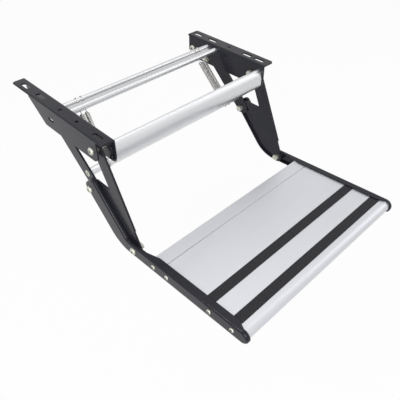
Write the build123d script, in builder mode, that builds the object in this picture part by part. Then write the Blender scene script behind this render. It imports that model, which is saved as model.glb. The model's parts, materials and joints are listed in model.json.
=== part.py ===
from build123d import *
import math
import os

os.makedirs("parts", exist_ok=True)

# Frame: X across the step, -Y to the front, Z up.
# Origin on the fixing face of the brackets, in the middle of the four slots.

# Sheet metal
sheet = 3.0
link_sheet = 4.0
bend_radius = 4.5
cheek_bend_limit = 0.9
arm_edge_limit = 1.4

# Widths across the step
tread_width = 400.0
rail_flange_width = 15.0
arm_flange_width = 7.7
arm_to_link = 6.5
link_to_flange = 11.5
short_plate_width = 30.0
long_plate_width = 28.0

# Pivots (Y, Z) with the step open
front_pivot = (-84.0, -26.8)
rear_pivot = (47.1, -40.8)
lower_pivot = (-168.5, -208.8)
upper_arm_pivot = (-50.5, -131.8)
tube_centre = (-35.5, -107.8)
step_tilt = -3.91

# Fits
running_clearance = 0.06
side_gap = 0.3
screw_clearance = 0.05

# Brackets
bracket_front = -117.7
short_bracket_length = 227.7
long_bracket_length = 297.7
plate_corner = 5.0
flange_depth = 50.0
short_flange_rear = 106.0
long_flange_rear = 176.0
flange_corner = 18.0
short_flange_cut = (35.0, 15.0)
long_flange_cut = (66.0, 30.0)
cheek_front = -99.5
cheek_depth = 46.0
cheek_corner = 14.0
cheek_rear_top = 118.0
cheek_rear_bottom = 70.0
cheek_rear_edge = 6.0
cheek_slot = (45.0, -25.0)
cheek_slot_length = 18.2
cheek_slot_width = 5.88
slot_inset = 16.0
slot_width = 8.4
slot_length = 26.0
slot_y = (-91.5, 91.5)
short_bracket_slots = (-57.5, 45.5)
long_bracket_slots = (146.5,)
short_bracket_holes = (-4.5,)
long_bracket_holes = (-28.5, 24.5)
plate_hole_radius = 3.5

# Front crossbar and rear rail
bar_centre = (-104.3, -32.0)
bar_depth = 23.0
bar_height = 42.0
bar_wall = 2.0
bar_port_radius = 4.5
bar_port_pitch = 18.0
rail_y = (21.8, 45.8)
rail_z = -10.8
bead_radius = 6.0
rail_web = 4.0
port_radius = 2.0
stop_bolt = (93.1, -28.3)

# Links
link_end_radius = 15.0
link_eye_radius = 12.0
link_neck = 38.0
wing_top = -107.8
wing_reach = -59.5
wing_inner = -96.0
wing_corner = 1.5
rear_link_width = 30.0
rear_link_shift = 6.0

# Cross tube
tube_radius = 8.0
tube_bore = 3.1

# Step, measured from the lower pivot along (u) and square to (v) the tread
tread_top = 9.9
tread_back = -49.1
tread_depth = 226.0
tread_thickness = 22.0
tread_wall = 2.2
nose_gap = 0.3
arm_angle = 50.9
arm_behind_pivot = 11.0
arm_before_pivot = 29.0
arm_beyond_pivot = 16.0
arm_inner_fillet = 14.0
arm_outer_fillet = 65.0
arm_end_fillet = 9.0
arm_edge_fillet = 4.2
flange_relief = 32.0
flange_taper = 30.0
nose_taper = 14.0
strip_setback = 19.8
strip_pitch = 58.0
strip_width = 19.2
strip_thickness = 1.6
strip_recess = 1.0
groove_back = 30.0
groove_width = 2.4
groove_depth = 1.4
screw_back = (9.0, 45.0, 148.0, 198.0)
tread_port_radius = 4.4
screw_drop = 9.5

# Fasteners
pivot_radius = 4.0
head_radius = 7.0
head_height = 4.5
head_rim = 0.45
head_shoulder = 0.85
head_crown = 0.6
nut_height = 7.0
thin_head = 1.2
socket_radius = 2.9
socket_depth = 2.4
spacer_radius = 6.8
screw_radius = 2.0
screw_head_radius = 4.6
screw_head = 2.6
screw_length = 16.0
bolt_end = 1.0
stud_bore = 0.5

# Springs
spring_inset = (29.5, 40.5)
spring_lean = 13.0
coil_radius = 4.8
coil_groove = 3.9
coil_turns = 13
coil_length = 78.0
wire_radius = 0.85
loop_wire_radius = 1.05
loop_sides = 8
hook_clearance = 0.9

# Derived
arm_outer_x = tread_width / 2 + rail_flange_width
web_x = arm_outer_x - sheet
link_outer = web_x - arm_to_link
link_x = link_outer - link_sheet
flange_x = link_x - link_to_flange - sheet
cheek_x = flange_x + long_plate_width - sheet
slot_x = flange_x + slot_inset
spring_x = [flange_x - inset for inset in spring_inset]
hole_radius = pivot_radius + running_clearance
tread_bottom = tread_top - tread_thickness
rail_height = tread_thickness + 2 * sheet
rail_top = tread_top + sheet
rail_bottom = rail_top - rail_height
rail_nose = tread_back - tread_depth - sheet - nose_gap
screw_v = tread_top - screw_drop
tilt = math.radians(step_tilt)
step_plane = Plane(
    origin=(0, lower_pivot[0], lower_pivot[1]),
    x_dir=(0, math.cos(tilt), math.sin(tilt)),
    z_dir=(1, 0, 0),
)
pivot_offset = Vector(upper_arm_pivot[0] - lower_pivot[0], upper_arm_pivot[1] - lower_pivot[1])
arm_pivot = (
    pivot_offset.X * math.cos(tilt) + pivot_offset.Y * math.sin(tilt),
    -pivot_offset.X * math.sin(tilt) + pivot_offset.Y * math.cos(tilt),
)
lean = math.radians(arm_angle)
bar_ports = [(bar_centre[0], bar_centre[1] + end * bar_port_pitch / 2) for end in (1, -1)]
rail_ports = [(y, rail_z) for y in rail_y]
screw_u = [tread_back - back for back in screw_back]


def rod(centre, start, end, radius, mode=Mode.ADD):
    """Add or cut a round bar lying along X."""
    with BuildSketch(Plane.YZ.offset(min(start, end))) as disc:
        with Locations(centre):
            Circle(radius)
    extrude(disc.sketch, amount=abs(end - start), mode=mode)


def domed_head(centre, face, height, radius, side=1):
    """Round head standing on a face square to X, with a hexagon socket."""
    top = face + side * height
    middle = (face, centre[0], centre[1])
    with BuildSketch(Plane(origin=middle, x_dir=(side, 0, 0), z_dir=(0, 0, side))) as half:
        with BuildLine():
            Polyline(
                (height, 0),
                (0, 0),
                (0, radius),
                (height * head_rim, radius),
                (height * head_shoulder, radius * head_shoulder),
                (height, radius * head_crown),
                close=True,
            )
        make_face()
    revolve(half.sketch, axis=Axis(middle, (1, 0, 0)))
    with BuildSketch(Plane.YZ.offset(top)) as socket:
        with Locations(centre):
            RegularPolygon(socket_radius, 6)
    extrude(socket.sketch, amount=-side * socket_depth, mode=Mode.SUBTRACT)


def hex_nut(centre, start, end, radius, bore):
    """Hexagon nut with its axis along X."""
    with BuildSketch(Plane.YZ.offset(min(start, end))) as hexagon:
        with Locations(centre):
            RegularPolygon(radius, 6)
            Circle(bore, mode=Mode.SUBTRACT)
    extrude(hexagon.sketch, amount=abs(end - start))


def save(part, name):
    """Name one piece and write it out."""
    part.label = name
    export_step(part, f"parts/{name}.step")


def bracket(width, length, flange_rear, flange_cut, slots, holes, cheek):
    """Hanging bracket of the right side: top plate, inner flange and, if asked for, outer cheek."""
    outer = flange_x + width
    rear = bracket_front + length
    with BuildPart() as piece:
        with BuildSketch(Plane.XY.offset(-sheet)):
            with Locations(((flange_x + outer) / 2, (bracket_front + rear) / 2)):
                Rectangle(width, rear - bracket_front)
            fillet(vertices().group_by(Axis.X)[-1], plate_corner)
        extrude(amount=sheet)
        with BuildSketch(Plane.YZ.offset(flange_x)):
            with BuildLine():
                Polyline(
                    (bracket_front, 0),
                    (flange_rear, 0),
                    (flange_rear, flange_cut[1] - flange_depth),
                    (flange_rear - flange_cut[0], -flange_depth),
                    (bracket_front, -flange_depth),
                    close=True,
                )
            make_face()
            fillet(vertices().group_by(Axis.Y)[0].sort_by(Axis.X)[0], flange_corner)
        extrude(amount=sheet)
        bends = edges().filter_by(Axis.Y).filter_by_position(Axis.X, flange_x, flange_x).sort_by(Axis.Z)
        if cheek:
            with BuildSketch(Plane.YZ.offset(outer - sheet)):
                with BuildLine():
                    Polyline(
                        (cheek_front, 0),
                        (cheek_rear_top, 0),
                        (cheek_rear_top, -cheek_rear_edge),
                        (cheek_rear_bottom, -cheek_depth),
                        (cheek_front, -cheek_depth),
                        close=True,
                    )
                make_face()
                fillet(vertices().group_by(Axis.Y)[0].sort_by(Axis.X)[0], cheek_corner)
                with Locations(cheek_slot):
                    SlotOverall(cheek_slot_length, cheek_slot_width, mode=Mode.SUBTRACT)
            extrude(amount=sheet)
            rod(front_pivot, outer - sheet, outer, hole_radius, Mode.SUBTRACT)
        fillet(bends[-1], bend_radius)
        if cheek:
            outside = edges().filter_by(Axis.Y).group_by(Axis.X)[-1]
            fillet(outside.sort_by(Axis.Z)[-1], min(bend_radius, cheek_bend_limit * sheet))
        with BuildSketch(Plane.XY.offset(-sheet)):
            with Locations(*[(slot_x, y) for y in slots]):
                SlotOverall(slot_length, slot_width, rotation=90)
            with Locations(*[(slot_x, y) for y in holes]):
                Circle(plate_hole_radius)
        extrude(amount=sheet, mode=Mode.SUBTRACT)
        for centre in (front_pivot, rear_pivot, stop_bolt):
            rod(centre, flange_x, flange_x + sheet, hole_radius, Mode.SUBTRACT)
        for centre in bar_ports + rail_ports:
            rod(centre, flange_x, flange_x + sheet, screw_radius + screw_clearance, Mode.SUBTRACT)
    return piece.part


bracket_right = bracket(
    short_plate_width,
    short_bracket_length,
    short_flange_rear,
    short_flange_cut,
    slot_y + short_bracket_slots,
    short_bracket_holes,
    False,
)
save(bracket_right, "bracket_right")
long_bracket = bracket(
    long_plate_width,
    long_bracket_length,
    long_flange_rear,
    long_flange_cut,
    slot_y + long_bracket_slots,
    long_bracket_holes,
    True,
)
bracket_left = mirror(long_bracket, about=Plane.YZ)
save(bracket_left, "bracket_left")

with BuildPart() as front_crossbar:
    with BuildSketch(Plane.YZ.offset(-flange_x)):
        with Locations(bar_centre):
            Ellipse(bar_depth / 2, bar_height / 2)
            Ellipse(bar_depth / 2 - bar_wall, bar_height / 2 - bar_wall, mode=Mode.SUBTRACT)
        with Locations(*bar_ports):
            Circle(bar_port_radius)
            Rectangle(bar_depth - 2 * bar_wall, bar_wall)
        with Locations(*bar_ports):
            Circle(port_radius, mode=Mode.SUBTRACT)
    extrude(amount=2 * flange_x)
save(front_crossbar.part, "front_crossbar")

hook_y = rail_y[1] - bead_radius - loop_wire_radius - screw_clearance
with BuildPart() as rear_rail:
    with BuildSketch(Plane.YZ.offset(-flange_x)):
        with Locations(*rail_ports):
            Circle(bead_radius)
        with Locations((sum(rail_y) / 2, rail_z)):
            Rectangle(rail_y[1] - rail_y[0], rail_web)
        with Locations(*rail_ports):
            Circle(port_radius, mode=Mode.SUBTRACT)
    extrude(amount=2 * flange_x)
    with BuildSketch(Plane.XY.offset(rail_z - rail_web)):
        with Locations(*[(side * x, hook_y) for x in spring_x for side in (1, -1)]):
            Circle(loop_wire_radius + hook_clearance)
    extrude(amount=2 * rail_web, mode=Mode.SUBTRACT)
save(rear_rail.part, "rear_rail")


def end_screws(name, centres):
    """Screws through both inner flanges into the ports of a cross member."""
    with BuildPart() as screws:
        for centre in centres:
            domed_head(centre, flange_x + sheet, screw_head, screw_head_radius)
            rod(centre, flange_x + sheet - screw_length, flange_x + sheet, screw_radius)
        mirror(about=Plane.YZ)
    save(screws.part, name)


end_screws("front_crossbar_screws", bar_ports)
end_screws("rear_rail_screws", rail_ports)

nut_face = flange_x - nut_height - bolt_end

with BuildPart() as front_pivot_bolt_right:
    domed_head(front_pivot, link_outer + side_gap, head_height, head_radius)
    rod(front_pivot, nut_face, link_outer + side_gap, pivot_radius)
save(front_pivot_bolt_right.part, "front_pivot_bolt_right")

with BuildPart() as front_pivot_bolt_left:
    domed_head(front_pivot, -cheek_x - sheet, head_height, head_radius, -1)
    rod(front_pivot, -cheek_x - sheet, -nut_face, pivot_radius)
save(front_pivot_bolt_left.part, "front_pivot_bolt_left")

with BuildPart() as front_pivot_sleeve:
    rod(front_pivot, -cheek_x, -link_outer - side_gap, spacer_radius)
    rod(front_pivot, -cheek_x, -link_outer - side_gap, hole_radius, Mode.SUBTRACT)
save(front_pivot_sleeve.part, "front_pivot_sleeve")


def flange_nuts(name, centre):
    """Pair of nuts on the inner faces of the flanges."""
    with BuildPart() as nuts:
        hex_nut(centre, flange_x - nut_height, flange_x, head_radius, hole_radius)
        mirror(about=Plane.YZ)
    save(nuts.part, name)


def spacers(name, centre, start, end):
    """Pair of spacer rings on a pivot."""
    with BuildPart() as rings:
        rod(centre, start, end, spacer_radius)
        rod(centre, start, end, hole_radius, Mode.SUBTRACT)
        mirror(about=Plane.YZ)
    save(rings.part, name)


flange_nuts("front_pivot_nuts", front_pivot)
spacers("front_pivot_spacers", front_pivot, flange_x + sheet, link_x - side_gap)
flange_nuts("rear_pivot_nuts", rear_pivot)
spacers("rear_pivot_spacers", rear_pivot, flange_x + sheet, link_x - side_gap)

with BuildPart() as rear_pivot_bolts:
    rod(rear_pivot, nut_face, link_outer + side_gap, pivot_radius)
    rod(rear_pivot, link_outer + side_gap, link_outer + side_gap + thin_head, head_radius)
    mirror(about=Plane.YZ)
save(rear_pivot_bolts.part, "rear_pivot_bolts")

with BuildPart() as rear_stop_bolts:
    domed_head(stop_bolt, flange_x, head_height, head_radius, -1)
    rod(stop_bolt, flange_x, flange_x + sheet + nut_height + bolt_end, pivot_radius)
    mirror(about=Plane.YZ)
save(rear_stop_bolts.part, "rear_stop_bolts")

with BuildPart() as rear_stop_nuts:
    hex_nut(stop_bolt, flange_x + sheet, flange_x + sheet + nut_height, head_radius, hole_radius)
    mirror(about=Plane.YZ)
save(rear_stop_nuts.part, "rear_stop_nuts")

# Front link: a strip with a narrower eye at the lower pivot and a wing on the rear edge
link_run = Vector(lower_pivot[0] - front_pivot[0], lower_pivot[1] - front_pivot[1]).normalized()
link_side = Vector(-link_run.Y, link_run.X)
neck_top = Vector(*lower_pivot) - link_run * link_neck


def bar_between(top, bottom, half_width):
    """Corners of a straight bar of the front link."""
    side = link_side * half_width
    corners = [top + side, bottom + side, bottom - side, top - side]
    return [(corner.X, corner.Y) for corner in corners]


strip = bar_between(Vector(*front_pivot), neck_top, link_end_radius)
neck = bar_between(neck_top, Vector(*lower_pivot), link_eye_radius)

with BuildPart() as front_link:
    with BuildSketch(Plane.YZ.offset(link_x)):
        with Locations(front_pivot):
            Circle(link_end_radius)
        with Locations(lower_pivot):
            Circle(link_eye_radius)
        with BuildLine():
            Polyline(*strip, close=True)
        make_face()
        with BuildLine():
            Polyline(*neck, close=True)
        make_face()
        with BuildLine():
            Polyline((wing_inner - link_end_radius, wing_top), (wing_reach, wing_top), neck[1], close=True)
        make_face()
        fillet(vertices().sort_by_distance((wing_reach, wing_top))[0], wing_corner)
        with Locations(front_pivot, lower_pivot):
            Circle(hole_radius, mode=Mode.SUBTRACT)
    extrude(amount=link_sheet)
save(front_link.part, "front_link_right")
save(mirror(front_link.part, about=Plane.YZ), "front_link_left")

# Rear link: a plate whose centre line runs in front of the pivots
rear_run = Vector(
    upper_arm_pivot[0] - rear_pivot[0], upper_arm_pivot[1] - rear_pivot[1]
).normalized()
shift = Vector(rear_run.Y, -rear_run.X) * rear_link_shift
plate_ends = [(p[0] + shift.X, p[1] + shift.Y) for p in (rear_pivot, upper_arm_pivot)]

with BuildPart() as rear_link:
    with BuildSketch(Plane.YZ.offset(link_x)):
        with BuildLine():
            for end in plate_ends:
                CenterArc(end, rear_link_width / 2, 0, 360)
        make_hull()
        with Locations(rear_pivot, upper_arm_pivot):
            Circle(hole_radius, mode=Mode.SUBTRACT)
        with Locations(tube_centre):
            Circle(tube_bore, mode=Mode.SUBTRACT)
    extrude(amount=link_sheet)
save(rear_link.part, "rear_link_right")
save(mirror(rear_link.part, about=Plane.YZ), "rear_link_left")

with BuildPart() as cross_tube:
    rod(tube_centre, -link_x, link_x, tube_radius)
    rod(tube_centre, -link_x, link_x, tube_bore, Mode.SUBTRACT)
save(cross_tube.part, "cross_tube")

with BuildPart() as cross_tube_screws:
    domed_head(tube_centre, link_outer, thin_head, spacer_radius)
    rod(tube_centre, link_outer - screw_length - link_sheet, link_outer, tube_bore - screw_clearance)
    mirror(about=Plane.YZ)
save(cross_tube_screws.part, "cross_tube_screws")

stud_end = link_outer + thin_head + side_gap

with BuildPart() as link_studs:
    rod(upper_arm_pivot, link_x, stud_end, pivot_radius)
    hex_nut(upper_arm_pivot, link_x - nut_height, link_x, head_radius, stud_bore)
    mirror(about=Plane.YZ)
save(link_studs.part, "link_studs")


def arm_point(along, across):
    """Point in the step's own plane, from the upper arm pivot along and across the arm."""
    return (
        arm_pivot[0] + along * math.cos(lean) - across * math.sin(lean),
        arm_pivot[1] + along * math.sin(lean) + across * math.cos(lean),
    )


def arm_line_at(across, level):
    """Point where one edge line of the arm meets a level of the rail."""
    start = arm_point(0, across)
    along = (level - start[1]) / math.sin(lean)
    return arm_point(along, across)


nose_radius = rail_height / 2
nose_centre = (rail_nose + nose_radius, rail_bottom + nose_radius)
arm_corners = [
    (nose_centre[0], rail_bottom),
    arm_line_at(-arm_behind_pivot, rail_bottom),
    arm_point(arm_beyond_pivot, -arm_behind_pivot),
    arm_point(arm_beyond_pivot, arm_before_pivot),
    arm_line_at(arm_before_pivot, rail_top),
    (nose_centre[0], rail_top),
]
arm_fillets = (None, arm_outer_fillet, arm_end_fillet, arm_end_fillet, arm_inner_fillet, None)


def arm_outline():
    """Outline of the side arm in its own plane."""
    with BuildLine() as edge:
        Polyline(*arm_corners)
        ThreePointArc(arm_corners[-1], (rail_nose, nose_centre[1]), arm_corners[0])
    make_face(edge.edges())
    for corner, radius in zip(arm_corners, arm_fillets):
        if radius:
            fillet(vertices().sort_by_distance(corner)[0], radius)


inner_edge = arm_outer_x - arm_flange_width
flange_edge = arm_outer_x - rail_flange_width
rail_flange = [
    (-flange_relief, web_x),
    (-flange_relief, inner_edge),
    (-flange_relief - flange_taper, flange_edge),
    (nose_centre[0] + nose_taper, flange_edge),
    (nose_centre[0], inner_edge),
    (nose_centre[0], web_x),
]
flange_plane = Plane(
    origin=step_plane.from_local_coords(Vector(0, rail_top, 0)),
    x_dir=step_plane.x_dir,
    z_dir=-step_plane.y_dir,
)

with BuildPart() as side_arm:
    with BuildSketch(step_plane.offset(web_x)):
        arm_outline()
        with Locations((0, 0), arm_pivot):
            Circle(hole_radius, mode=Mode.SUBTRACT)
        with Locations(*[(u, screw_v) for u in screw_u]):
            Circle(screw_radius + screw_clearance, mode=Mode.SUBTRACT)
    extrude(amount=sheet)
    with BuildSketch(step_plane.offset(inner_edge)):
        arm_outline()
        offset(amount=-sheet, mode=Mode.SUBTRACT)
    extrude(amount=arm_flange_width - sheet)
    with BuildSketch(flange_plane):
        with BuildLine():
            Polyline(*rail_flange, close=True)
        make_face()
    extrude(amount=sheet)
    fillet(faces().sort_by(Axis.X)[-1].outer_wire().edges(), min(arm_edge_fillet, arm_edge_limit * sheet))
save(side_arm.part, "side_arm_right")
save(mirror(side_arm.part, about=Plane.YZ), "side_arm_left")

# Tread: one hollow extrusion with a rounded front, ribs at the screw ports
tread_front = tread_back - tread_depth
tread_mid = (tread_top + tread_bottom) / 2
strips = [tread_front + strip_setback + strip_width / 2 + step * strip_pitch for step in (1, 0)]
tread_body_front = tread_front + tread_thickness / 2

with BuildPart() as tread:
    with BuildSketch(step_plane.offset(-web_x)):
        with Locations(((tread_body_front + tread_back) / 2, tread_mid)):
            Rectangle(tread_back - tread_body_front, tread_thickness)
        with Locations((tread_body_front, tread_mid)):
            Circle(tread_thickness / 2)
        offset(amount=-tread_wall, mode=Mode.SUBTRACT)
        with Locations(*[(u, tread_mid) for u in screw_u]):
            Rectangle(tread_wall, tread_thickness - tread_wall)
        with Locations(*[(u, tread_mid) for u in strips]):
            Rectangle(tread_wall, tread_thickness - tread_wall)
        with Locations(*[(u, tread_top - tread_wall - strip_recess / 2) for u in strips]):
            Rectangle(strip_width + 2 * tread_wall, 2 * strip_recess)
        with Locations(*[(u, screw_v) for u in screw_u]):
            Circle(tread_port_radius)
            Circle(screw_radius, mode=Mode.SUBTRACT)
        with Locations(*[(u, tread_top - strip_recess / 2) for u in strips]):
            Rectangle(strip_width, strip_recess, mode=Mode.SUBTRACT)
        with Locations((tread_back - groove_back, tread_top - groove_depth / 2)):
            Rectangle(groove_width, groove_depth, mode=Mode.SUBTRACT)
    extrude(amount=2 * web_x)
save(tread.part, "tread")

strip_end = flange_edge - side_gap
for name, u in zip(("grip_strip_rear", "grip_strip_front"), strips):
    with BuildPart() as grip:
        with BuildSketch(step_plane.offset(-strip_end)):
            with Locations((u, tread_top - strip_recess + strip_thickness / 2)):
                Rectangle(strip_width, strip_thickness)
        extrude(amount=2 * strip_end)
    save(grip.part, name)


def on_step(u, v):
    """Point (Y, Z) for a place in the step's own plane."""
    return (
        lower_pivot[0] + u * math.cos(tilt) - v * math.sin(tilt),
        lower_pivot[1] + u * math.sin(tilt) + v * math.cos(tilt),
    )


with BuildPart() as tread_screws:
    for u in screw_u:
        domed_head(on_step(u, screw_v), arm_outer_x, screw_head, screw_head_radius)
        rod(on_step(u, screw_v), arm_outer_x - screw_length, arm_outer_x, screw_radius)
    mirror(about=Plane.YZ)
save(tread_screws.part, "tread_screws")

lower_nut = link_x - side_gap
with BuildPart() as lower_pivot_bolts:
    domed_head(lower_pivot, arm_outer_x, head_height, head_radius)
    rod(lower_pivot, lower_nut - nut_height - bolt_end, arm_outer_x, pivot_radius)
    mirror(about=Plane.YZ)
save(lower_pivot_bolts.part, "lower_pivot_bolts")

with BuildPart() as lower_pivot_nuts:
    hex_nut(lower_pivot, lower_nut - nut_height, lower_nut, head_radius, hole_radius)
    mirror(about=Plane.YZ)
save(lower_pivot_nuts.part, "lower_pivot_nuts")

spacers("lower_pivot_spacers", lower_pivot, link_outer + side_gap, web_x)

with BuildPart() as arm_pins:
    domed_head(upper_arm_pivot, arm_outer_x, head_height, head_radius)
    rod(upper_arm_pivot, stud_end + side_gap, arm_outer_x, pivot_radius)
    mirror(about=Plane.YZ)
save(arm_pins.part, "arm_pins")

# Springs from the rear bead of the rail down to the cross tube, their feet further out
bead = Vector(0, rail_y[1], rail_z)
foot = Vector(spring_lean, tube_centre[0], tube_centre[1])
spring_reach = (foot - bead).length
top_loop = bead_radius + loop_wire_radius + screw_clearance
foot_loop = tube_radius + loop_wire_radius + screw_clearance
coil_start = (spring_reach + top_loop - foot_loop - coil_length) / 2
coil_pitch = coil_length / coil_turns


def spring(x):
    """Extension spring of the right side with a loop at each end."""
    base = bead + Vector(x, 0, 0)
    run = (foot - bead).normalized()
    side = run.cross(Vector(1, 0, 0)).normalized()
    wave = [(0, top_loop), (wire_radius, top_loop), (wire_radius, coil_start)]
    for turn in range(coil_turns):
        low = coil_start + turn * coil_pitch
        wave += [(coil_groove, low), (coil_radius, low + coil_pitch / 2)]
    wave += [(coil_groove, coil_start + coil_length), (wire_radius, coil_start + coil_length)]
    wave += [(wire_radius, spring_reach - foot_loop), (0, spring_reach - foot_loop)]
    with BuildPart() as coil:
        with BuildSketch(Plane(origin=base, x_dir=run.cross(side), z_dir=side)):
            with BuildLine():
                Polyline(*wave, close=True)
            make_face()
        revolve(axis=Axis(base, run))
        for station, loop in ((0, top_loop), (spring_reach, -foot_loop)):
            centre = base + run * station
            hook = centre + run * loop
            with BuildSketch(Plane(origin=hook, x_dir=(1, 0, 0), z_dir=side)):
                RegularPolygon(loop_wire_radius, loop_sides)
            revolve(axis=Axis(centre, (1, 0, 0)))
    return coil.part


for place, x in zip(("inner", "outer"), spring_x):
    save(spring(x), f"spring_right_{place}")
    save(mirror(spring(x), about=Plane.YZ), f"spring_left_{place}")
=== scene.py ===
import json
import math

import bpy
import numpy as np
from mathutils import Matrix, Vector


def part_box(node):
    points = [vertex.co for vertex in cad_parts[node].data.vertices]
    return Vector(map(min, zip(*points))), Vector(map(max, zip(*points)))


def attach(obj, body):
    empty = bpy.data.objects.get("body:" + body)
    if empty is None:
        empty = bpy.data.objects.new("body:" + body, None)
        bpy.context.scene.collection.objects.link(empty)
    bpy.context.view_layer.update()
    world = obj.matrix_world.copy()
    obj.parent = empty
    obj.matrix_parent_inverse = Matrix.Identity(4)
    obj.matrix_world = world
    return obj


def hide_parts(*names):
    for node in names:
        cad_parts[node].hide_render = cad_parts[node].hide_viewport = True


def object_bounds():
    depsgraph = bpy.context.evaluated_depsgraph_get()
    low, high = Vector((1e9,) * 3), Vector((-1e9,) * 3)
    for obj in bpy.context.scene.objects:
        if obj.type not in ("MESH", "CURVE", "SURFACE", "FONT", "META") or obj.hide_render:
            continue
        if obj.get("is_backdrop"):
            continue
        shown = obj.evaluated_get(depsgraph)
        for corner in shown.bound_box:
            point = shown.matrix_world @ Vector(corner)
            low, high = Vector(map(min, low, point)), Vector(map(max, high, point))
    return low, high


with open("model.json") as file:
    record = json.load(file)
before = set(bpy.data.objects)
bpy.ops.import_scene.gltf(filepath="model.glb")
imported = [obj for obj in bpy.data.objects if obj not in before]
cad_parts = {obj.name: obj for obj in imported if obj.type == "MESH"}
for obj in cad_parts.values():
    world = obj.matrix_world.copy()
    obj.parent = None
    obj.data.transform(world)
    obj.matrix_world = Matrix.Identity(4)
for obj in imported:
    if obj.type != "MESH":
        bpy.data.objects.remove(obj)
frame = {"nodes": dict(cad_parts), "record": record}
cad_low, cad_high = (Vector(corner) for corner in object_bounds())

bl_info = {
    "name": "Folding entry step",
    "version": (1, 0, 0),
    "blender": (4, 5, 0),
    "location": "View3D > Sidebar > Entry Step",
    "description": "Finishes, springs and studio for a folding caravan entry step",
    "category": "Object",
}

WHITE = (1.0, 1.0, 1.0, 1.0)

# Range in which most values of a noise texture lie
NOISE_LOW = 0.3
NOISE_HIGH = 0.7
NOISE_ROUGHNESS = 0.55

# Sockets of a Mix node that mixes colours
MIX_FIRST = 6
MIX_SECOND = 7
MIX_RESULT = 2
OCCLUSION_SAMPLES = 8

# Spring wire: the sides of the wire, and the points of a coil's turn, a hook and its shank
WIRE_SIDES = 8
TURN_STEPS = 16
HOOK_STEPS = 40
SHANK_STEPS = 8

# Way that the hooked bars run, how far a hook goes round one, and how a coil's ends close in
ACROSS = np.array([1.0, 0.0, 0.0])
HOOK_ARC = math.radians(330)
TAPER_TURNS = 0.5
SMALLEST_TAPER = 0.02

# Stage: where the lamps aim, the floor, the world and the camera
STEP_MIDDLE = (0.0, -0.2, -0.1)
FLOOR_HALF = 6.0
FLOOR_COLOUR = (0.8, 0.8, 0.8, 1.0)
FLOOR_ROUGHNESS = 0.9
FLOOR_WHITE = 0.95
WORLD_STRENGTH = 0.42
WORLD_WHITE = 1.0
CAMERA_PLACE = (-0.5272, -0.6667, 0.4355)
CAMERA_AZIMUTH = -44.12
CAMERA_ELEVATION = 42.02
CAMERA_LENS = 42.0
CAMERA_SENSOR = 36.0


def nodes_with(slot):
    """Names of the CAD nodes that have one material slot."""
    return tuple(sub["node"] for sub in frame["record"]["subparts"] if sub["material_slot"] == slot)


class StepSizes(bpy.types.PropertyGroup):
    """Sizes of the pieces that are made here."""

    wire_radius: bpy.props.FloatProperty(
        name="Spring wire", description="Radius of the spring wire",
        default=0.0009, min=0.0004, max=0.0015, unit="LENGTH", precision=5,
    )
    coil_share: bpy.props.FloatProperty(
        name="Coil share", description="Share of a spring's reach that is wound",
        default=0.60, min=0.3, max=0.75, subtype="FACTOR",
    )
    coil_radius: bpy.props.FloatProperty(
        name="Coil radius", description="Outer radius of a spring",
        default=0.0048, min=0.002, max=0.01, unit="LENGTH", precision=4,
    )
    spring_lean: bpy.props.FloatProperty(
        name="Spring lean", description="How far a spring's foot stands outside its upper hook",
        default=0.013, min=0.0, max=0.03, unit="LENGTH",
    )
    coil_turns: bpy.props.IntProperty(
        name="Turns", description="Turns of one spring", default=34, min=8, max=60,
    )
    floor_drop: bpy.props.FloatProperty(
        name="Floor drop", description="Height of the step's lowest point over the floor",
        default=0.25, min=0.0, max=0.6, unit="LENGTH",
    )


class StepColours(bpy.types.PropertyGroup):
    """Colours of the finishes."""

    paint: bpy.props.FloatVectorProperty(
        name="Paint", description="Black powder coat of the steel pieces",
        subtype="COLOR", size=4, default=(0.0125, 0.0130, 0.0195, 1.0), min=0.0, max=1.0,
    )
    tread: bpy.props.FloatVectorProperty(
        name="Tread", description="Satin aluminium of the tread",
        subtype="COLOR", size=4, default=(0.61, 0.62, 0.65, 1.0), min=0.0, max=1.0,
    )
    bar: bpy.props.FloatVectorProperty(
        name="Cross members", description="Mill aluminium of the bars and the tube",
        subtype="COLOR", size=4, default=(0.66, 0.665, 0.68, 1.0), min=0.0, max=1.0,
    )
    grip: bpy.props.FloatVectorProperty(
        name="Grip", description="Gritty strips on the tread",
        subtype="COLOR", size=4, default=(0.016, 0.016, 0.018, 1.0), min=0.0, max=1.0,
    )
    plate: bpy.props.FloatVectorProperty(
        name="Plating", description="Zinc of the bolts, nuts and screws",
        subtype="COLOR", size=4, default=(0.62, 0.615, 0.55, 1.0), min=0.0, max=1.0,
    )
    spring: bpy.props.FloatVectorProperty(
        name="Spring", description="Plated spring wire",
        subtype="COLOR", size=4, default=(0.62, 0.61, 0.59, 1.0), min=0.0, max=1.0,
    )


def node_of_type(tree, kind):
    """First node of one type in a tree."""
    return next(node for node in tree.nodes if node.type == kind)


def blank_material(name):
    """New material, with its node tree and its Principled shader."""
    material = bpy.data.materials.new(name)
    material.use_nodes = True
    tree = material.node_tree
    return material, tree, node_of_type(tree, "BSDF_PRINCIPLED")


def noise_on_object(tree, scale, stretch=(1.0, 1.0, 1.0), detail=3.0):
    """Noise on Object coordinates, stretched by a Mapping node."""
    place = tree.nodes.new("ShaderNodeTexCoord")
    mapping = tree.nodes.new("ShaderNodeMapping")
    mapping.inputs["Scale"].default_value = stretch
    noise = tree.nodes.new("ShaderNodeTexNoise")
    noise.inputs["Scale"].default_value = scale
    noise.inputs["Detail"].default_value = detail
    noise.inputs["Roughness"].default_value = NOISE_ROUGHNESS
    tree.links.new(place.outputs["Object"], mapping.inputs["Vector"])
    tree.links.new(mapping.outputs["Vector"], noise.inputs["Vector"])
    return noise.outputs["Fac"]


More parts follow.
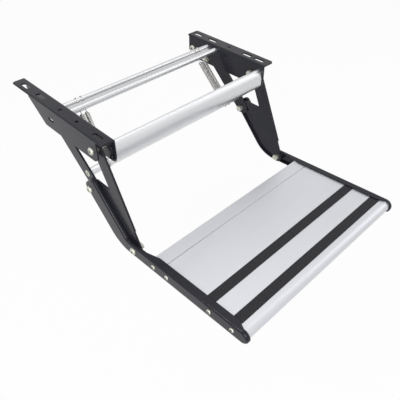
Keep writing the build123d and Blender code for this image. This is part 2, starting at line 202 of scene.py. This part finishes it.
def spread(tree, noise, low, high):
    """Map Range that carries a noise's usual range to a low and a high value."""
    remap = tree.nodes.new("ShaderNodeMapRange")
    remap.inputs["From Min"].default_value = NOISE_LOW
    remap.inputs["From Max"].default_value = NOISE_HIGH
    remap.inputs["To Min"].default_value = low
    remap.inputs["To Max"].default_value = high
    tree.links.new(noise, remap.inputs["Value"])
    return remap.outputs["Result"]


def tint(tree, value, dark, light, low=NOISE_LOW, high=NOISE_HIGH):
    """Colour ramp between two colours, from a low to a high value."""
    ramp = tree.nodes.new("ShaderNodeValToRGB")
    ramp.color_ramp.elements[0].position = low
    ramp.color_ramp.elements[0].color = dark
    ramp.color_ramp.elements[1].position = high
    ramp.color_ramp.elements[1].color = light
    tree.links.new(value, ramp.inputs["Fac"])
    return ramp.outputs["Color"]


def scaled(colour, factor):
    """A colour made darker or lighter, with its alpha at 1."""
    return tuple(min(1.0, channel * factor) for channel in colour[:3]) + (1.0,)


def mottled(tree, noise, colour, darkest, lightest):
    """A colour that a noise carries between a darker and a lighter tone."""
    return tint(tree, noise, scaled(colour, darkest), scaled(colour, lightest))


def painted_recess_shade(tree, colour, reach, deepest, low, high):
    """Painted shade: a colour made darker in sockets and inner corners, found by occlusion within a reach.
    """
    recess = tree.nodes.new("ShaderNodeAmbientOcclusion")
    recess.samples = OCCLUSION_SAMPLES
    recess.only_local = True
    recess.inputs["Distance"].default_value = reach
    shade = tint(tree, recess.outputs["AO"], scaled(WHITE, deepest), WHITE, low, high)
    # painted shade: the colour multiplied by the occlusion's dark tint
    painted_shade_mix = tree.nodes.new("ShaderNodeMix")
    painted_shade_mix.data_type = "RGBA"
    painted_shade_mix.blend_type = "MULTIPLY"
    painted_shade_mix.inputs["Factor"].default_value = 1.0
    tree.links.new(colour, painted_shade_mix.inputs[MIX_FIRST])
    tree.links.new(shade, painted_shade_mix.inputs[MIX_SECOND])
    return painted_shade_mix.outputs[MIX_RESULT]


def raise_surface(tree, shader, height, strength, distance):
    """Bump from a height into the shader's normal."""
    bump = tree.nodes.new("ShaderNodeBump")
    bump.inputs["Strength"].default_value = strength
    bump.inputs["Distance"].default_value = distance
    tree.links.new(height, bump.inputs["Height"])
    tree.links.new(bump.outputs["Normal"], shader.inputs["Normal"])


def finish_surface(tree, shader, tone, roughness):
    """Links a surface's tone and roughness to its shader."""
    tree.links.new(tone, shader.inputs["Base Color"])
    tree.links.new(roughness, shader.inputs["Roughness"])


def powder_coat(colour):
    """Black powder coat: fine orange peel, and a patchy sheen."""
    material, tree, shader = blank_material("black_powder_coat")
    patches = noise_on_object(tree, scale=35.0)
    peel = noise_on_object(tree, scale=700.0, detail=2.0)
    tone = mottled(tree, patches, colour, darkest=0.85, lightest=1.15)
    finish_surface(tree, shader, tone, spread(tree, patches, low=0.20, high=0.28))
    raise_surface(tree, shader, peel, strength=0.10, distance=0.0003)
    shader.inputs["Specular IOR Level"].default_value = 0.23
    return material


def drawn_aluminium(name, colour, roughness, lines, relief, metallic, corner=1.0):
    """Aluminium extrusion with drawing lines along X, a slow change of tone and, when corner is under 1,
    painted shade in inner corners.
    """
    material, tree, shader = blank_material(name)
    streaks = noise_on_object(tree, scale=lines, stretch=(0.004, 1.0, 1.0), detail=2.0)
    cloud = noise_on_object(tree, scale=9.0, stretch=(0.6, 1.0, 1.0), detail=2.0)
    both = tree.nodes.new("ShaderNodeMix")
    both.inputs["Factor"].default_value = 0.4
    tree.links.new(streaks, both.inputs["A"])
    tree.links.new(cloud, both.inputs["B"])
    grain = both.outputs["Result"]
    tone = mottled(tree, grain, colour, darkest=0.95, lightest=1.04)
    # painted shade in the inner corners, down to the corner share of the colour
    if corner < 1.0:
        tone = painted_recess_shade(tree, tone, reach=0.008, deepest=corner, low=0.6, high=0.97)
    finish_surface(tree, shader, tone, spread(tree, grain, low=roughness - 0.05, high=roughness + 0.06))
    raise_surface(tree, shader, streaks, strength=relief, distance=0.0002)
    shader.inputs["Metallic"].default_value = metallic
    return material


def grit(colour):
    """Anti-slip strip: dark binder with grains that stand up and catch the light."""
    material, tree, shader = blank_material("grit_strip")
    place = tree.nodes.new("ShaderNodeTexCoord")
    grains = tree.nodes.new("ShaderNodeTexVoronoi")
    grains.inputs["Scale"].default_value = 900.0
    tree.links.new(place.outputs["Object"], grains.inputs["Vector"])
    speckle = noise_on_object(tree, scale=600.0)
    tone = mottled(tree, speckle, colour, darkest=0.35, lightest=2.4)
    finish_surface(tree, shader, tone, spread(tree, speckle, low=0.75, high=0.95))
    raise_surface(tree, shader, grains.outputs["Distance"], strength=0.5, distance=0.0006)
    shader.inputs["Specular IOR Level"].default_value = 0.32
    return material


def plated_steel(name, colour, roughness):
    """Plated steel with a faint cloudy tone, and painted shade down in sockets and under heads."""
    material, tree, shader = blank_material(name)
    cloud = noise_on_object(tree, scale=220.0)
    tone = mottled(tree, cloud, colour, darkest=0.82, lightest=1.08)
    # painted shade in sockets and under heads
    tone = painted_recess_shade(tree, tone, reach=0.004, deepest=0.10, low=0.3, high=0.7)
    finish_surface(tree, shader, tone, spread(tree, cloud, low=roughness - 0.08, high=roughness + 0.1))
    shader.inputs["Metallic"].default_value = 0.9
    return material


def dress(nodes, material):
    """Puts one finish on CAD nodes, leaving their meshes as they are."""
    for node in nodes:
        slots = frame["nodes"][node].data.materials
        slots.clear()
        slots.append(material)


def wire_tube(path, lead, radius):
    """Points, side faces and end faces of a round wire: each point of the path carries a ring.

    ring(i, k) = path(i) + radius * (cos(k) * spoke(i) + sin(k) * other(i)), where spoke is lead made
    square to the path's tangent, and other is square to both.
    """
    tangent = np.gradient(path, axis=0)
    tangent /= np.linalg.norm(tangent, axis=1, keepdims=True)
    spoke = lead - tangent * (tangent @ lead)[:, None]
    spoke /= np.linalg.norm(spoke, axis=1, keepdims=True)
    other = np.cross(tangent, spoke)
    turn = np.linspace(0.0, 2 * math.pi, WIRE_SIDES, endpoint=False)
    ring = np.cos(turn)[None, :, None] * spoke[:, None] + np.sin(turn)[None, :, None] * other[:, None]
    points = (path[:, None] + radius * ring).reshape(-1, 3)
    row, column = np.meshgrid(np.arange(len(path) - 1), np.arange(WIRE_SIDES), indexing="ij")
    here = row * WIRE_SIDES + column
    beside = row * WIRE_SIDES + (column + 1) % WIRE_SIDES
    quads = np.stack([here, beside, beside + WIRE_SIDES, here + WIRE_SIDES], axis=-1).reshape(-1, 4)
    rim = np.arange(WIRE_SIDES)
    caps = np.stack([rim[::-1], rim + (len(path) - 1) * WIRE_SIDES])
    return points, quads, caps


def mesh_piece(name, wires, material):
    """One smooth mesh object from several closed wires, each wire's faces counted on from the last."""
    faces, start = [], 0
    for points, quads, caps in wires:
        faces += (quads + start).tolist() + (caps + start).tolist()
        start += len(points)
    mesh = bpy.data.meshes.new(name)
    mesh.from_pydata(np.concatenate([points for points, _, _ in wires]).tolist(), [], faces)
    mesh.polygons.foreach_set("use_smooth", np.ones(len(mesh.polygons), dtype=bool))
    mesh.update()
    mesh.materials.append(material)
    piece = bpy.data.objects.new(name, mesh)
    bpy.context.scene.collection.objects.link(piece)
    return piece


def wound_coil(start, along, across, side, radius, length, turns):
    """Path of a closed coil: a helix that closes in over its first and last half turn.

    path(s) = start + along * length * s + swing(s) * (across * cos(a) + side * sin(a)), where the angle a
    is turns * s full circles and swing is the radius, eased in at both ends by a sine.
    """
    steps = np.linspace(0.0, 1.0, turns * TURN_STEPS + 1)
    angle = 2 * math.pi * turns * steps
    taper = np.clip(np.minimum(steps, 1.0 - steps) * turns / TAPER_TURNS, SMALLEST_TAPER, 1.0)
    swing = radius * np.sin(taper * math.pi / 2)
    return (
        start
        + along * (length * steps)[:, None]
        + across * (swing * np.cos(angle))[:, None]
        + side * (swing * np.sin(angle))[:, None]
    )


def hook(centre, along, side, radius, reach):
    """Path of an end hook: most of a circle about a bar, then straight along the spring to its coil."""
    angle = np.linspace(HOOK_ARC, 0.0, HOOK_STEPS)
    circle = centre + radius * (along * np.cos(angle)[:, None] + side * np.sin(angle)[:, None])
    shank = centre + along * np.linspace(radius, reach, SHANK_STEPS)[1:, None]
    return np.concatenate([circle, shank])


def spring_wires(upper, lower, bead_radius, tube_radius, sizes):
    """Coil and end hooks of one spring, whose coil lies midway between the bead and the tube."""
    wire = sizes.wire_radius
    reach = np.linalg.norm(lower - upper)
    along = (lower - upper) / reach
    side = np.cross(along, ACROSS)
    side /= np.linalg.norm(side)
    square = np.cross(side, along)
    length = sizes.coil_share * reach
    gap = (reach + bead_radius - tube_radius - length) / 2
    coil = wound_coil(
        upper + along * gap, along, square, side, sizes.coil_radius - wire, length, sizes.coil_turns
    )
    top = hook(upper, along, side, bead_radius + wire, gap)
    end = hook(lower, -along, side, tube_radius + wire, reach - gap - length)
    return [wire_tube(coil, along, wire), wire_tube(top, ACROSS, wire), wire_tube(end, ACROSS, wire)]


class STEP_OT_paint(bpy.types.Operator):
    """Powder coats the brackets, links, side arms and black screws"""

    bl_idname = "step.paint"
    bl_label = "Painted steel"

    def execute(self, context):
        dress(nodes_with("black_paint"), powder_coat(context.scene.step_colours.paint))
        return {"FINISHED"}


class STEP_OT_tread(bpy.types.Operator):
    """Gives the tread its satin drawn finish"""

    bl_idname = "step.tread"
    bl_label = "Tread"

    def execute(self, context):
        satin = drawn_aluminium(
            "satin_tread", context.scene.step_colours.tread,
            roughness=0.42, lines=700.0, relief=0.035, metallic=0.7,
        )
        dress(nodes_with("tread_aluminium"), satin)
        return {"FINISHED"}


class STEP_OT_cross_members(bpy.types.Operator):
    """Gives the crossbar, the rear rail and the tube their mill finish"""

    bl_idname = "step.cross_members"
    bl_label = "Cross members"

    def execute(self, context):
        colour = context.scene.step_colours.bar
        mill = {"lines": 450.0, "metallic": 0.9}
        bar = drawn_aluminium("mill_bar", colour, roughness=0.34, relief=0.005, **mill)
        # painted light: the tube's colour is the bars' colour made lighter, against the crossbar's shadow
        # on it
        tube = drawn_aluminium("mill_tube_painted_light", scaled(colour, 1.15), roughness=0.34, relief=0.005, **mill)
        # painted shade: the rail's colour is the bars' colour made darker, and darker still in the grooves
        # between its beads
        rail = drawn_aluminium(
            "mill_rail_painted_shade", scaled(colour, 0.93), roughness=0.26, relief=0.004, corner=0.22, **mill
        )
        dress(("front_crossbar",), bar)
        dress(("cross_tube",), tube)
        dress(("rear_rail",), rail)
        return {"FINISHED"}


class STEP_OT_grips(bpy.types.Operator):
    """Gives the grip strips their grit"""

    bl_idname = "step.grips"
    bl_label = "Grip strips"

    def execute(self, context):
        dress(nodes_with("grip"), grit(context.scene.step_colours.grip))
        return {"FINISHED"}


class STEP_OT_fasteners(bpy.types.Operator):
    """Plates the bolts, nuts, spacers, pins and bright screws"""

    bl_idname = "step.fasteners"
    bl_label = "Fasteners"

    def execute(self, context):
        zinc = plated_steel("zinc_plate", context.scene.step_colours.plate, roughness=0.50)
        dress(nodes_with("zinc"), zinc)
        return {"FINISHED"}


class STEP_OT_springs(bpy.types.Operator):
    """Winds the four springs between the rear rail and the cross tube"""

    bl_idname = "step.springs"
    bl_label = "Springs"

    def execute(self, context):
        sizes = context.scene.step_sizes
        material = plated_steel("spring_wire", context.scene.step_colours.spring, roughness=0.36)
        springs = nodes_with("spring_steel")
        dress(springs, material)
        rail_low, rail_high = (np.array(corner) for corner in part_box("rear_rail"))
        tube_low, tube_high = (np.array(corner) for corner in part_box("cross_tube"))
        bead_radius = (rail_high[2] - rail_low[2]) / 2
        tube_radius = (tube_high[2] - tube_low[2]) / 2
        bead = np.array([0.0, rail_high[1] - bead_radius, (rail_low[2] + rail_high[2]) / 2])
        foot = (tube_low + tube_high) / 2 * np.array([0.0, 1.0, 1.0])
        for name in springs:
            middle = sum(corner[0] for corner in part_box(name)) / 2
            lean = math.copysign(sizes.spring_lean / 2, middle)
            upper = bead + ACROSS * (middle - lean)
            lower = foot + ACROSS * (middle + lean)
            wires = spring_wires(upper, lower, bead_radius, tube_radius, sizes)
            piece = mesh_piece("wound_" + name, wires, material)
            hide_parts(name)
            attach(piece, "springs")
        return {"FINISHED"}


def seen_white(tree, strength):
    """Share of white that only camera, mirror and glass rays see."""
    path = tree.nodes.new("ShaderNodeLightPath")
    seen = path.outputs["Is Camera Ray"]
    for ray in ("Is Glossy Ray", "Is Transmission Ray"):
        either = tree.nodes.new("ShaderNodeMath")
        either.operation = "MAXIMUM"
        tree.links.new(seen, either.inputs[0])
        tree.links.new(path.outputs[ray], either.inputs[1])
        seen = either.outputs[0]
    share = tree.nodes.new("ShaderNodeMath")
    share.operation = "MULTIPLY"
    share.inputs[1].default_value = strength
    tree.links.new(seen, share.inputs[0])
    return share.outputs[0]


def show_white(tree, lit, white, strength, output):
    """Sends a lit shader to the output, with white in its place where it is seen."""
    mix = tree.nodes.new("ShaderNodeMixShader")
    tree.links.new(seen_white(tree, strength), mix.inputs["Fac"])
    tree.links.new(lit, mix.inputs[1])
    tree.links.new(white, mix.inputs[2])
    tree.links.new(mix.outputs["Shader"], node_of_type(tree, output).inputs["Surface"])


class STEP_OT_stage(bpy.types.Operator):
    """Sets the floor, the lights, the world and the camera"""

    bl_idname = "step.stage"
    bl_label = "Stage"

    def execute(self, context):
        scene = context.scene
        scene.view_settings.view_transform = "Standard"
        self.floor(scene)
        self.world(scene)
        self.lamp("key_light", place=(-1.3, -1.7, 0.8), aim=STEP_MIDDLE, size=1.0, power=29.0)
        self.lamp("top_light", place=(0.3, 0.2, 1.8), aim=STEP_MIDDLE, size=1.6, power=6.0)
        self.lamp("bar_light", place=(1.17, -0.65, 1.5), aim=(0.0, -0.1, -0.03), size=0.4, power=1.2)
        self.lamp("edge_light", place=(-1.28, 0.45, 1.28), aim=(-0.1, -0.3, -0.2), size=0.25, power=7.0)
        self.lamp("right_fill", place=(1.6, -0.9, 0.7), aim=STEP_MIDDLE, size=1.2, power=4.0)
        self.camera(scene)
        return {"FINISHED"}

    def floor(self, scene):
        """Pale floor under the step, which keeps a faint shadow."""
        level = cad_low.z - scene.step_sizes.floor_drop
        corners = [(-1, -1), (1, -1), (1, 1), (-1, 1)]
        mesh = bpy.data.meshes.new("floor")
        mesh.from_pydata([(x * FLOOR_HALF, y * FLOOR_HALF, level) for x, y in corners], [], [(0, 1, 2, 3)])
        material, tree, shader = blank_material("pale_floor")
        shader.inputs["Base Color"].default_value = FLOOR_COLOUR
        shader.inputs["Roughness"].default_value = FLOOR_ROUGHNESS
        glow = tree.nodes.new("ShaderNodeEmission")
        show_white(tree, shader.outputs["BSDF"], glow.outputs["Emission"], FLOOR_WHITE, "OUTPUT_MATERIAL")
        mesh.materials.append(material)
        plane = bpy.data.objects.new("floor", mesh)
        scene.collection.objects.link(plane)
        plane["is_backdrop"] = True

    def world(self, scene):
        """Even soft light from all round, white where the camera sees it."""
        world = bpy.data.worlds.new("studio")
        world.use_nodes = True
        tree = world.node_tree
        soft = node_of_type(tree, "BACKGROUND")
        soft.inputs["Color"].default_value = WHITE
        soft.inputs["Strength"].default_value = WORLD_STRENGTH
        white = tree.nodes.new("ShaderNodeBackground")
        white.inputs["Color"].default_value = WHITE
        show_white(
            tree, soft.outputs["Background"], white.outputs["Background"], WORLD_WHITE, "OUTPUT_WORLD"
        )
        scene.world = world

    def lamp(self, name, place, aim, size, power):
        """Square soft box turned to a point."""
        data = bpy.data.lights.new(name, "AREA")
        data.size = size
        data.energy = power
        lamp = bpy.data.objects.new(name, data)
        lamp.location = place
        lamp.rotation_euler = (Vector(aim) - Vector(place)).to_track_quat("-Z", "Y").to_euler()
        bpy.context.scene.collection.objects.link(lamp)

    def camera(self, scene):
        """Camera at the photograph's place and angle."""
        data = bpy.data.cameras.new("camera")
        data.lens = CAMERA_LENS
        data.sensor_width = CAMERA_SENSOR
        camera = bpy.data.objects.new("camera", data)
        camera.location = CAMERA_PLACE
        camera.rotation_euler = (
            math.radians(90.0 - CAMERA_ELEVATION), 0.0, math.radians(CAMERA_AZIMUTH)
        )
        scene.collection.objects.link(camera)
        scene.camera = camera


OPERATORS = (
    STEP_OT_paint,
    STEP_OT_tread,
    STEP_OT_cross_members,
    STEP_OT_grips,
    STEP_OT_fasteners,
    STEP_OT_springs,
    STEP_OT_stage,
)


class STEP_PT_panel(bpy.types.Panel):
    """Sidebar panel of the entry step"""

    bl_label = "Entry step"
    bl_idname = "STEP_PT_panel"
    bl_space_type = "VIEW_3D"
    bl_region_type = "UI"
    bl_category = "Entry Step"

    def draw(self, context):
        for group in (context.scene.step_sizes, context.scene.step_colours):
            for name in group.bl_rna.properties.keys():
                if name not in ("rna_type", "name"):
                    self.layout.prop(group, name)
        for operator in OPERATORS:
            self.layout.operator(operator.bl_idname)


CLASSES = (StepSizes, StepColours) + OPERATORS + (STEP_PT_panel,)


def register():
    """Registers the classes and hangs their values on the scene."""
    for item in CLASSES:
        bpy.utils.register_class(item)
    bpy.types.Scene.step_sizes = bpy.props.PointerProperty(type=StepSizes)
    bpy.types.Scene.step_colours = bpy.props.PointerProperty(type=StepColours)


def unregister():
    """Takes the values and the classes away again."""
    del bpy.types.Scene.step_colours
    del bpy.types.Scene.step_sizes
    for item in reversed(CLASSES):
        bpy.utils.unregister_class(item)


def main():
    register()
    bpy.ops.step.paint()
    bpy.ops.step.tread()
    bpy.ops.step.cross_members()
    bpy.ops.step.grips()
    bpy.ops.step.fasteners()
    bpy.ops.step.springs()
    bpy.ops.step.stage()


if __name__ == "__main__":
    main()
